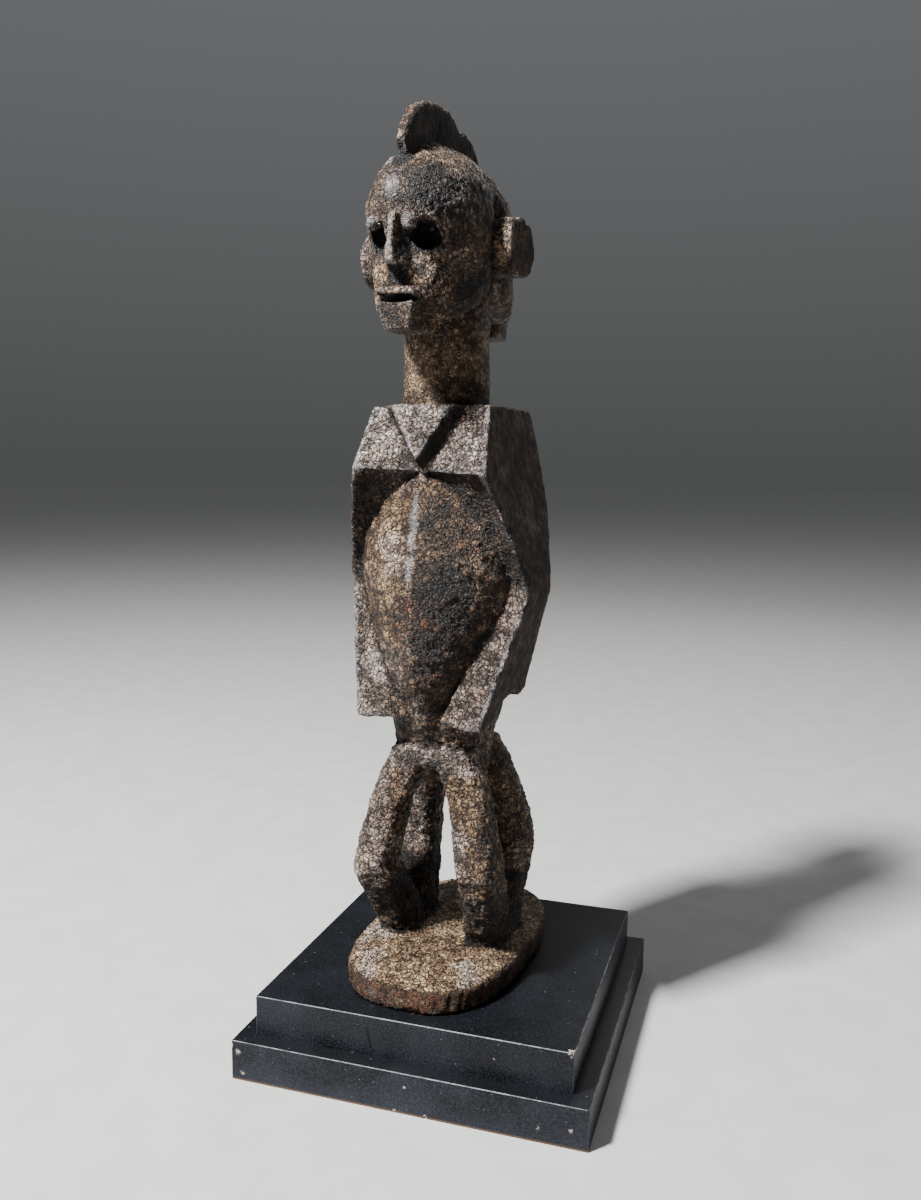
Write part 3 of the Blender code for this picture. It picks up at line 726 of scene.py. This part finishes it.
    def refine(self) -> bpy.types.Object:
        """Copies the solid and gives it an even, fine skin with slightly worn edges.

        Returns:
            The refined copy, in the row frame.
        """
        mesh = frame["nodes"]["figure"].data.copy()
        piece = bpy.data.objects.new("carved_figure", mesh)
        bpy.context.scene.collection.objects.link(piece)
        for at in self.knobs:
            deselect()
            bpy.ops.mesh.primitive_ico_sphere_add(
                subdivisions=3, radius=self.knob_radius * MM, location=self.to_row(at))
            piece.select_set(True)
            bpy.context.view_layer.objects.active = piece
            bpy.ops.object.join()
        take(piece)
        bpy.ops.object.mode_set(mode="EDIT")
        bpy.ops.mesh.select_all(action="SELECT")
        bpy.ops.mesh.remove_doubles(threshold=self.weld_mm * MM)
        bpy.ops.mesh.normals_make_consistent(inside=False)
        bpy.ops.object.mode_set(mode="OBJECT")
        skin = piece.modifiers.new("skin", "REMESH")
        skin.mode = "VOXEL"
        skin.voxel_size = self.voxel_mm * MM
        bpy.ops.object.modifier_apply(modifier=skin.name)
        worn = piece.modifiers.new("worn", "SMOOTH")
        worn.factor = self.wear_factor
        worn.iterations = self.wear_turns
        bpy.ops.object.modifier_apply(modifier=worn.name)
        return piece

    def turned(self, vectors: np.ndarray) -> np.ndarray:
        """Turns vectors from the row frame into the figure's own axes.

        Args:
            vectors: One vector a row.

        Returns:
            The turned vectors, of the same length.
        """
        angle = math.radians(-self.turn)
        x, y, z = vectors.T
        return np.stack([
            x * math.cos(angle) - y * math.sin(angle),
            x * math.sin(angle) + y * math.cos(angle),
            z,
        ], axis=1)

    def to_own(self, points: np.ndarray) -> np.ndarray:
        """Turns row-frame metres into the figure's own millimetres."""
        start = np.array([self.shift[0], self.shift[1], self.base])
        return self.turned(points / MM - start)

    def to_row(self, own: Place) -> Vector:
        """Turns one place in the figure's own millimetres into row-frame metres.

        Args:
            own: The place, x, y and z.

        Returns:
            The same place in the row frame.
        """
        angle = math.radians(self.turn)
        x, y, z = own
        return Vector((
            x * math.cos(angle) - y * math.sin(angle) + self.shift[0],
            x * math.sin(angle) + y * math.cos(angle) + self.shift[1],
            z + self.base,
        )) * MM

    def swell(self, mesh: bpy.types.Mesh, points: np.ndarray, normals: np.ndarray) -> np.ndarray:
        """How far each point stands out from the mean of the surface round it.

        Args:
            mesh: The refined mesh.
            points: Its vertices, metres.
            normals: Their normals.

        Returns:
            Millimetres, above 0 on edges and below 0 in corners.
        """
        ends = np.empty(len(mesh.edges) * 2, np.int32)
        mesh.edges.foreach_get("vertices", ends)
        first, second = ends.reshape(-1, 2).T
        count = len(points)
        degree = np.bincount(first, minlength=count) + np.bincount(second, minlength=count)
        mean = points.copy()
        for _ in range(self.swell_rounds):
            total = np.empty_like(mean)
            for axis in range(3):
                column = mean[:, axis]
                total[:, axis] = (np.bincount(first, column[second], count)
                                  + np.bincount(second, column[first], count))
            mean = total / degree[:, None]
        return np.einsum("ij,ij->i", points - mean, normals) / MM

    def survey(self, mesh: bpy.types.Mesh) -> Skin:
        """Reads the refined mesh and works out the noises at each of its points.

        Args:
            mesh: The refined mesh.

        Returns:
            The surface as arrays.
        """
        count = len(mesh.vertices)
        flat = np.empty(count * 3, np.float32)
        mesh.vertices.foreach_get("co", flat)
        points = flat.reshape(-1, 3).astype(float)
        mesh.vertex_normals.foreach_get("vector", flat)
        normals = flat.reshape(-1, 3).astype(float)
        own = self.to_own(points)
        thick, long = self.strand_mm, self.strand_length_mm
        crack, lump, broad, strand, clouds, chips = (np.empty(count) for _ in range(6))
        noise.seed_set(self.seed)
        for i, place in enumerate(own.tolist()):
            at = Vector(place)
            bent = at + noise.noise_vector(at / self.bend_mm) * self.bend_reach_mm
            near = noise.voronoi(bent / self.flake_mm)[0]
            crack[i] = near[1] - near[0]
            lump[i] = noise.fractal(at / self.lump_mm, 0.7, 2.1, 4)
            broad[i] = noise.noise(at / self.broad_mm)
            clouds[i] = noise.fractal(at / self.cloud_mm, 0.8, 2.1, 3)
            chips[i] = noise.noise(at / self.chip_mm)
            drawn = Vector((at.x / thick, at.y / thick, at.z / long))
            strand[i] = noise.noise(drawn * 1.2) + 0.5 * noise.noise(drawn * 2.9)
        return Skin(
            points=points, normals=normals, own=own, own_normals=self.turned(normals),
            swell=self.swell(mesh, points, normals), crack=crack, lump=lump, broad=broad,
            strand=strand, clouds=clouds, chips=chips,
        )

    def front(self, skin: Skin) -> np.ndarray:
        """1 on the front half, and the rear's share on the plainer rear half."""
        return np.where(skin.own[:, 1] < 0, 1.0, self.rear_share)

    def mouth(self, own: np.ndarray) -> np.ndarray:
        """Finds the slot between the lips, which dips a little to the right.

        Args:
            own: Points in the figure's own millimetres.

        Returns:
            Shares from 0 to 1.
        """
        x, y, z = own.T
        across = x - self.mouth_middle
        above = z - (self.mouth_height - self.mouth_dip * across)
        inside = soft(1.7, 1.0, np.abs(above)) * soft(10.2, 9.2, np.abs(across))
        return inside * soft(self.lip_reach, self.lip_reach + 3.0, np.abs(y))

    def tool_marks(self, own: np.ndarray) -> np.ndarray:
        """Cuts the upright chisel marks into the slab's front and rear edge.

        Args:
            own: Points in the figure's own millimetres.

        Returns:
            How deep each point lies in a cut, mm.
        """
        x, y, z = own.T
        cut = np.zeros(len(own))
        for face, share in ((-1, 1.0), (1, 0.6)):
            for at, height, depth in self.gouges:
                lean = at + self.gouge_lean * (z - 6.0)
                groove = soft(*self.gouge_half, np.abs(x * -face - lean))
                groove = groove * band(z, 1.5, height, 1.5)
                cut += share * depth * groove * (y * face > 10.0)
        return cut

    def areas(self, skin: Skin) -> dict[Area, np.ndarray]:
        """Finds how much of each area every point has.

        Args:
            skin: The figure's surface.

        Returns:
            Shares from 0 to 1 for each area.
        """
        x, y, z = skin.own.T
        nx, ny, nz = skin.own_normals.T
        facing = np.abs(ny)
        sideways = np.abs(nx)

        crest = soft(self.crest_foot - 2, self.crest_foot + 2, z + 0.25 * np.abs(y))
        crest *= soft(5.0, 3.6, np.abs(x - self.crest_middle))
        ear = soft(24.0, 30.0, np.abs(x - self.ear_middle)) * band(z, *self.ears, 2.0)
        neck = band(z, *self.neck, 4.0)
        neck *= soft(self.neck_radius + 2, self.neck_radius, np.hypot(x, y))
        chest = band(z, self.plate_bottom - 0.5, self.shoulder_top - 1, 1.0)
        # The raised panel's side walls, which the tone darkens with painted shade.
        wall = chest * soft(0.25, 0.5, sideways) * soft(22.0, 20.0, np.abs(x - self.panel_middle))
        heights, halves = zip(*self.belly_halves)
        out = np.abs(x - self.belly_middle) / np.interp(z, heights, halves)
        # The hollows under the plates, which the tone darkens with painted shade.
        hollow = band(z, self.hollow_bottom, self.plate_bottom - 1.5, 6.0) * soft(0.86, 1.02, out)
        arm = soft(0.4, 0.75, facing) * band(z, self.hand_bottom, self.elbow, 4.0)
        slab_edge = soft(self.slab_rim + 0.6, self.slab_rim - 1.2, z) * soft(0.7, 0.35, np.abs(nz))

        # The wood's grain shows on the flat sides, where the crust is thin.
        crest_side = crest * soft(0.5, 0.8, sideways)
        ear_face = ear * soft(0.7, 0.9, sideways)
        flank = soft(0.8, 0.94, sideways) * band(z, self.hand_bottom, self.shoulder_top, 2.0)
        grained = np.clip(crest_side + 0.85 * ear_face + 0.85 * flank + 0.35 * neck, 0, 1)
        grained = np.maximum(grained, 0.55 * slab_edge)
        # Convex edges, which are worn lighter and also get painted highlights.
        worn = soft(0.14, 0.45, skin.swell) * (1 - grained)
        worn = worn * soft(14.0, 30.0, z) * soft(-0.5, 0.3, skin.chips)
        return {
            Area.CREST_RIM: crest * soft(0.8, 0.5, sideways) * soft(403.0, 408.0, z),
            Area.MOUTH: self.mouth(skin.own),
            Area.NECK: neck,
            Area.PLATE: (facing > 0.3) * chest * (1 - wall),
            Area.PLATE_WALL: wall,
            Area.HOLLOW: hollow * soft(0.2, 0.5, facing),
            Area.ARM: arm * soft(0.95, 1.1, out),
            Area.SLAB_EDGE: slab_edge,
            Area.GRAINED: grained,
            Area.WORN_HIGHLIT_EDGE: worn,
        }

    def tone(self, skin: Skin, area: dict[Area, np.ndarray]) -> np.ndarray:
        """Works out how light the crust is.

        Args:
            skin: The figure's surface.
            area: The share of each area.

        Returns:
            About 0 for black and 1 for the palest.
        """
        z = skin.own[:, 2]
        facing = np.abs(skin.own_normals[:, 1])
        upward = skin.own_normals[:, 2]
        front = self.front(skin)
        # The plates and the arms' fronts are paler, partly their own colour and partly a painted
        # sheen, and the hollows under the plates get painted shade.
        tone = 0.5 + 0.13 * skin.clouds + 0.2 * area[Area.PLATE] * front
        tone = tone - 0.2 * area[Area.HOLLOW] + 0.1 * area[Area.ARM] * front

        # The slab's top is paler with dust; painted light makes what faces up and the fronts of the
        # legs paler, and painted shade makes what faces down darker.
        tone += 0.27 * soft(0.5, 0.95, upward) * soft(24.0, 14.0, z)
        tone += 0.07 * front * soft(0.3, 0.8, facing) * band(z, *self.legs, 8.0)
        tone += 0.08 * soft(0.4, 0.9, upward) - 0.08 * soft(0.3, 0.9, -upward)

        # The ankles are darker, the corners get painted shade, and the worn edges are lighter, which
        # also paints highlights on them.
        painted_corner_shade = soft(0.08, 0.5, -skin.swell)
        tone += (0.16 * area[Area.NECK] - 0.26 * band(z, *self.ankles, 5.0) - 0.24 * painted_corner_shade
                 + 0.1 * area[Area.WORN_HIGHLIT_EDGE])
        # Paler and darker patches, some of them painted light and painted shade, and painted shade
        # on the panel's side walls and in the slot between the lips.
        tone += patches(self.pales_and_painted_light, skin.shaken)
        tone -= (patches(self.darks_and_painted_shade, skin.shaken) + 0.5 * area[Area.PLATE_WALL]
                 + 0.8 * area[Area.MOUTH])
        return tone

    def ash(self, skin: Skin, area: dict[Area, np.ndarray]) -> np.ndarray:
        """Works out where the crust is grey rather than brown.

        Args:
            skin: The figure's surface.
            area: The share of each area.

        Returns:
            Shares from 0 to 1.
        """
        x, y, z = skin.own.T
        facing = np.abs(skin.own_normals[:, 1])
        leg_bottom, leg_top = self.legs
        # The plates and arms are grey partly of their own and partly as a painted sheen.
        return np.maximum.reduce([
            0.85 * area[Area.PLATE],
            0.6 * area[Area.ARM],
            0.35 * band(z, *self.brows, 6.0) * soft(0.45, 0.8, facing),
            0.6 * band(z, leg_bottom, leg_top - 8, 8.0) * soft(-16.0, -24.0, x),
            0.7 * band(z, *self.bars, 3.0) * soft(16.0, 20.0, np.abs(y)),
            0.6 * soft(0.0, 0.6, skin.clouds - 0.1),
        ])

    def rubbed_and_highlit(self, skin: Skin, area: dict[Area, np.ndarray]) -> np.ndarray:
        """Works out where hands have polished the crust, and where its pale grey also paints
        highlights.

        Args:
            skin: The figure's surface.
            area: The share of each area.

        Returns:
            0 where it is rough, and 1 or more where it is polished.
        """
        ridges = patches(self.rubs_and_highlights, skin.shaken) * soft(-0.9, -0.2, skin.chips)
        handled = area[Area.PLATE] + area[Area.ARM]
        edges = area[Area.WORN_HIGHLIT_EDGE] * (0.35 + 0.9 * self.front(skin) * handled)
        knobs = patches(tuple(Spot(at, self.knob_rub_and_highlight, 1.3, 0.6) for at in self.knobs), skin.own)
        return np.maximum.reduce([ridges, edges, knobs * np.abs(skin.own_normals[:, 1])])

    def rust(self, skin: Skin, area: dict[Area, np.ndarray]) -> np.ndarray:
        """Works out where the crust has come off and the wood is rusty brown.

        Args:
            skin: The figure's surface.
            area: The share of each area.

        Returns:
            0 where the crust is whole, and 1 or more where it is gone.
        """
        return np.maximum.reduce([
            patches(self.rusts, skin.shaken) * soft(-0.2, 0.3, skin.chips),
            area[Area.CREST_RIM] * soft(-0.35, 0.05, skin.chips),
            area[Area.SLAB_EDGE] * soft(-0.5, 0.2, skin.chips + 0.4 * skin.clouds),
        ])

    def zones(self, skin: Skin) -> dict[Zone, np.ndarray]:
        """Finds which kind of surface each point has.

        Args:
            skin: The figure's surface.

        Returns:
            Shares from 0 to 1 for each kind.
        """
        area = self.areas(skin)
        shares = {
            Zone.TONE: self.tone(skin, area),
            Zone.ASH: self.ash(skin, area),
            Zone.RUBBED_AND_HIGHLIT: self.rubbed_and_highlit(skin, area),
            Zone.RUST: self.rust(skin, area),
            Zone.GRAIN: area[Area.GRAINED],
            Zone.CRUST: 0.1 + 0.6 * skin.flakes + 0.5 * skin.lump,
        }
        return {zone: np.clip(share, 0, 1) for zone, share in shares.items()}

    def relief(self, skin: Skin, zones: dict[Zone, np.ndarray]) -> np.ndarray:
        """Works out how far the surface rises in flakes and lumps or is cut by tools and wear.

        Args:
            skin: The figure's surface.
            zones: The share of each kind of surface.

        Returns:
            How far each point moves outwards, mm.
        """
        y, z = skin.own[:, 1], skin.own[:, 2]
        grain = zones[Zone.GRAIN]

        # The crust is calm where it is rubbed and round the mouth, and rougher on the legs.
        lips = soft(self.lip_reach, self.lip_reach + 3.0, np.abs(y))
        lips *= band(z, *self.chin_to_lips, 2.0)
        calm = 1 - 0.7 * np.maximum(zones[Zone.RUBBED_AND_HIGHLIT], lips)
        calm *= 1 + 0.4 * band(z, 20.0, 120.0, 8.0)
        lift = self.flake_rise * (skin.flakes - 0.75) + self.lump_rise * skin.lump
        lift *= (1 - 0.85 * grain) * calm
        splits = self.strand_cut * soft(0.45, 0.9, -skin.strand)
        strands = grain * (self.strand_rise * skin.strand - splits)
        lift += strands + self.broad_rise * calm * skin.broad

        # Edges are chipped, deepest along the crest.
        chip = soft(0.25, 0.7, skin.swell) * soft(0.12, 0.5, skin.chips)
        lift -= chip * (self.chip_depth + self.crest_chip_depth * (z > self.crest_foot))
        lift -= self.tool_marks(skin.own) + self.mouth_depth * self.mouth(skin.own)
        lift -= patches(self.breaks, skin.own)
        return lift * soft(0.0, 1.2, z)

    def carve(self, piece: bpy.types.Object) -> None:
        """Gives the refined skin its flakes, lumps, grain and tool marks.

        Args:
            piece: The refined mesh, changed in place.
        """
        mesh = piece.data
        skin = self.survey(mesh)
        zones = self.zones(skin)
        lift = self.relief(skin, zones)
        moved = skin.points + skin.normals * (lift * MM)[:, None]
        moved[:, 2] = np.maximum(moved[:, 2], self.base * MM)
        mesh.vertices.foreach_set("co", moved.astype(np.float32).ravel())
        for zone, share in zones.items():
            layer = mesh.attributes.new(zone.value, "FLOAT", "POINT")
            layer.data.foreach_set("value", share.astype(np.float32))
        mesh.update()

    def lighten(self, piece: bpy.types.Object) -> None:
        """Collapses what is flat, down to the number of triangles that the piece may have.

        Args:
            piece: The carved mesh, changed in place.
        """
        present = sum(len(face.vertices) - 2 for face in piece.data.polygons)
        thin = piece.modifiers.new("thin", "DECIMATE")
        thin.ratio = min(1.0, self.triangles / present)
        take(piece)
        bpy.ops.object.modifier_apply(modifier=thin.name)
        bpy.ops.object.shade_smooth()

    def build(self) -> bpy.types.Object:
        """Makes the figure's mesh from its solid.

        Returns:
            The carved piece, still without its finish.
        """
        piece = self.refine()
        self.carve(piece)
        self.lighten(piece)
        return piece

    def dress(self, piece: bpy.types.Object) -> None:
        """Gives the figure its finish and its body.

        Args:
            piece: The carved piece.
        """
        piece.data.materials.clear()
        piece.data.materials.append(CrustedWood().make())
        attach(piece, "root")
        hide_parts("figure")


@dataclass
class SteppedPlinth:
    """The square display plinth: a lower step and a narrower upper step."""

    step_height: float = 20.0
    upper_side: float = 158.0
    edge: float = 0.8
    edge_rings: int = 3
    edge_fullness: float = 0.6
    sharp_degrees: float = 25.0
    bites: tuple[Ball, ...] = (
        (79.0, -79.0, 39.9, 1.7), (-87.9, -87.9, 17.0, 1.4), (87.8, -88.2, 20.4, 1.3),
        (31.0, -79.4, 40.1, 0.9), (-46.0, -88.2, 20.4, 0.9), (79.5, -30.0, 40.0, 0.9),
        (12.0, -88.2, -0.2, 1.3),
    )
    lower_side: float = field(init=False)
    top: float = field(init=False)

    def __post_init__(self) -> None:
        """Reads the plinth's own size from the frame."""
        low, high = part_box("plinth")
        self.lower_side = (high.x - low.x) / MM
        self.top = high.z / MM

    def steps(self) -> bpy.types.Object:
        """Draws the two steps up from one block and breaks their edges.

        Returns:
            The plinth, with its knocks still to come.
        """
        deselect()
        bpy.ops.mesh.primitive_cube_add(size=1.0, location=(0.0, 0.0, self.step_height / 2 * MM))
        piece = bpy.context.object
        piece.name = "stepped_plinth"
        piece.scale = (self.lower_side * MM, self.lower_side * MM, self.step_height * MM)
        bpy.ops.object.transform_apply(location=True, rotation=False, scale=True)
        bpy.ops.object.mode_set(mode="EDIT")
        bpy.ops.mesh.select_mode(type="FACE")
        shape = bmesh.from_edit_mesh(piece.data)
        for face in shape.faces:
            face.select_set(face.normal.z > 0.9)
        bmesh.update_edit_mesh(piece.data)
        bpy.ops.mesh.inset(thickness=(self.lower_side - self.upper_side) / 2 * MM)
        rise = (self.top - self.step_height) * MM
        bpy.ops.mesh.extrude_region_move(TRANSFORM_OT_translate={"value": (0.0, 0.0, rise)})
        bpy.ops.mesh.select_mode(type="EDGE")
        shape = bmesh.from_edit_mesh(piece.data)
        for edge in shape.edges:
            edge.select_set(edge.is_convex and edge.calc_face_angle(0.0) > 0.5)
        bmesh.update_edit_mesh(piece.data)
        bpy.ops.mesh.bevel(offset=self.edge * MM, segments=self.edge_rings,
                           profile=self.edge_fullness, affect="EDGES")
        bpy.ops.object.mode_set(mode="OBJECT")
        return piece

    def knock(self, piece: bpy.types.Object) -> None:
        """Takes the small knocks out of the plinth's edges.

        Args:
            piece: The plinth, changed in place.
        """
        for x, y, z, radius in self.bites:
            deselect()
            bpy.ops.mesh.primitive_ico_sphere_add(
                subdivisions=2, radius=radius * MM, location=(x * MM, y * MM, z * MM))
            tool = bpy.context.object
            cut = piece.modifiers.new("knock", "BOOLEAN")
            cut.operation = "DIFFERENCE"
            cut.solver = "EXACT"
            cut.object = tool
            take(piece)
            bpy.ops.object.modifier_apply(modifier=cut.name)
            bpy.data.objects.remove(tool)

    def build(self) -> bpy.types.Object:
        """Makes the plinth's mesh.

        Returns:
            The plinth, still without its finish.
        """
        piece = self.steps()
        self.knock(piece)
        take(piece)
        bpy.ops.object.shade_smooth_by_angle(angle=math.radians(self.sharp_degrees))
        return piece

    def dress(self, piece: bpy.types.Object) -> None:
        """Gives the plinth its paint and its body.

        Args:
            piece: The plinth.
        """
        piece.data.materials.clear()
        paint = BlackPaint().make(self.lower_side, self.upper_side, self.step_height, self.top)
        piece.data.materials.append(paint)
        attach(piece, "root")
        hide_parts("plinth")


@dataclass(frozen=True)
class Lamp:
    """One soft square light: its place in metres, its side in metres and its power in watts."""

    name: str
    at: Place
    size: float
    watts: float


@dataclass
class Studio:
    """Floor, soft light and the camera at the viewing angle.

    The camera's place and its lens and film are in millimetres, its angles in radians; the lamps'
    aim and the floor's side are in metres.
    """

    camera_at: Place = (157.77, -501.32, 294.56)
    yaw: float = -0.3070
    pitch: float = 0.1241
    roll: float = 0.0100
    lens: float = 30.849
    film: float = 36.0
    aim: Place = (0.0, 0.0, 0.22)
    floor_side: float = 40.0
    lamps: tuple[Lamp, ...] = (
        Lamp("key", (-0.62, -0.82, 1.5), 0.2, 116.0),
        Lamp("fill", (1.2, -0.9, 0.6), 1.0, 0.7),
        Lamp("back", (0.3, 1.3, 1.1), 0.8, 4.0),
    )
    horizon: str = "#9b9d9d"
    zenith: str = "#dcdfe3"
    sky_strength: float = 0.24

    def floor(self) -> None:
        """Lays the pale floor."""
        deselect()
        bpy.ops.mesh.primitive_plane_add(size=self.floor_side, location=(0.0, 0.0, 0.0))
        floor = bpy.context.object
        floor.name = "floor"
        floor.data.materials.append(PalePaper().make())

    def hang(self, lamp: Lamp) -> None:
        """Hangs one light so that it looks at the figure.

        Args:
            lamp: The light.
        """
        light = bpy.data.lights.new(lamp.name, "AREA")
        light.size = lamp.size
        light.energy = lamp.watts
        holder = bpy.data.objects.new(lamp.name, light)
        bpy.context.scene.collection.objects.link(holder)
        holder.location = lamp.at
        toward = Vector(self.aim) - Vector(lamp.at)
        holder.rotation_euler = toward.to_track_quat("-Z", "Y").to_euler()

    def sky(self) -> None:
        """Sets the even light of the room, a little darker toward the horizon."""
        world = bpy.data.worlds.new("room")
        world.use_nodes = True
        tree = world.node_tree
        add = partial(add_node, tree)
        height = add(Kind.SPLIT, add(Kind.PLACE).outputs["Generated"]).outputs["Z"]
        shade = add(Kind.RAMP, height, stops=((0.0, self.horizon), (0.6, self.zenith)))
        back = tree.nodes["Background"]
        join(tree, shade, back.inputs["Color"])
        join(tree, self.sky_strength, back.inputs["Strength"])
        bpy.context.scene.world = world

    def camera(self) -> None:
        """Sets the camera by the angles found from the plinth's edges."""
        look = Vector((
            math.sin(self.yaw) * math.cos(self.pitch),
            math.cos(self.yaw) * math.cos(self.pitch),
            -math.sin(self.pitch),
        ))
        level = Vector((math.cos(self.yaw), -math.sin(self.yaw), 0.0))
        over = level.cross(look)
        right = level * math.cos(self.roll) + over * math.sin(self.roll)
        up = over * math.cos(self.roll) - level * math.sin(self.roll)
        eye = bpy.data.cameras.new("view")
        eye.sensor_fit = "AUTO"
        eye.sensor_width = self.film
        eye.lens = self.lens
        holder = bpy.data.objects.new("view", eye)
        bpy.context.scene.collection.objects.link(holder)
        turned = Matrix((right, up, -look)).transposed().to_4x4()
        holder.matrix_world = Matrix.Translation(Vector(self.camera_at) * MM) @ turned
        bpy.context.scene.camera = holder

    def build(self) -> None:
        """Sets up everything round the object."""
        self.floor()
        self.sky()
        for lamp in self.lamps:
            self.hang(lamp)
        self.camera()


def main() -> None:
    """Builds the pieces in order and reports each."""
    for maker in (CarvedFigure(), SteppedPlinth()):
        piece = maker.build()
        maker.dress(piece)
        log.info("%s: %d faces", piece.name, len(piece.data.polygons))
    Studio().build()


if __name__ == "__main__":
    logging.basicConfig(level=logging.INFO)
    main()
